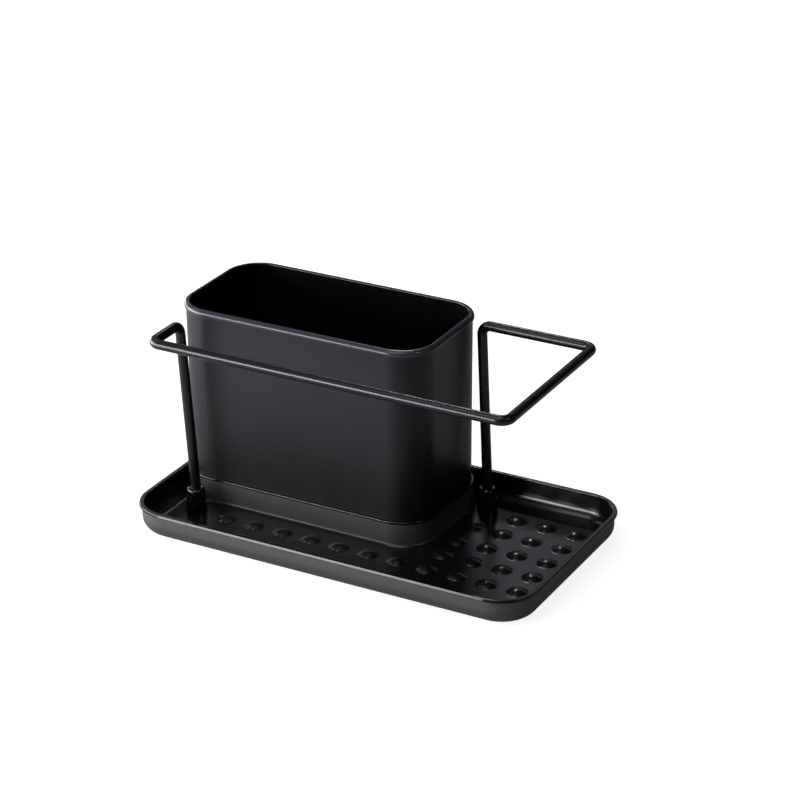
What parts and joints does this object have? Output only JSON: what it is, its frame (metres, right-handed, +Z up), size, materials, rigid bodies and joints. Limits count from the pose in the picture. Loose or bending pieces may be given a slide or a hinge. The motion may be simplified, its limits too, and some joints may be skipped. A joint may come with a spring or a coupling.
{
  "type": "sink caddy",
  "caption": "Kitchen sink caddy: a shallow lipped drip tray with raised bumps, an open lift-out container on a plinth, and a bent-bar cloth rail that plugs into sockets.",
  "frame": {"origin": "the middle of the tray in plan, on the surface the feet stand on", "axes": "+X to the right along the tray's length, +Y to the back, +Z up"},
  "size_m": [0.2706, 0.151, 0.1313],
  "materials": {
    "tray_plastic": "satin to gloss moulded black",
    "container_plastic": "satin moulded black",
    "coated_steel": "satin black powder coat on steel bar",
    "socket_plastic": "glossy moulded black",
    "screw_steel": "plain zinc-plated steel",
    "foot_rubber": "matt dark rubber"
  },
  "bodies": {
    "tray": {"drip_tray": "tray_plastic", "front_socket": "socket_plastic", "rear_socket": "socket_plastic", "front_socket_screw": "screw_steel", "rear_socket_screw": "screw_steel", "foot_front_left": "foot_rubber", "foot_front_right": "foot_rubber", "foot_rear_left": "foot_rubber", "foot_rear_right": "foot_rubber"},
    "container": {"utensil_container": "container_plastic"},
    "rail": {"cloth_rail": "coated_steel"}
  },
  "joints": [
    {"name": "container_lift", "type": "slide", "parent": "tray", "child": "container", "axis": [0, 0, 1], "range_m": [0, 0.12]},
    {"name": "rail_lift", "type": "slide", "parent": "tray", "child": "rail", "axis": [0, 0, 1], "range_m": [0, 0.13]}
  ]
}
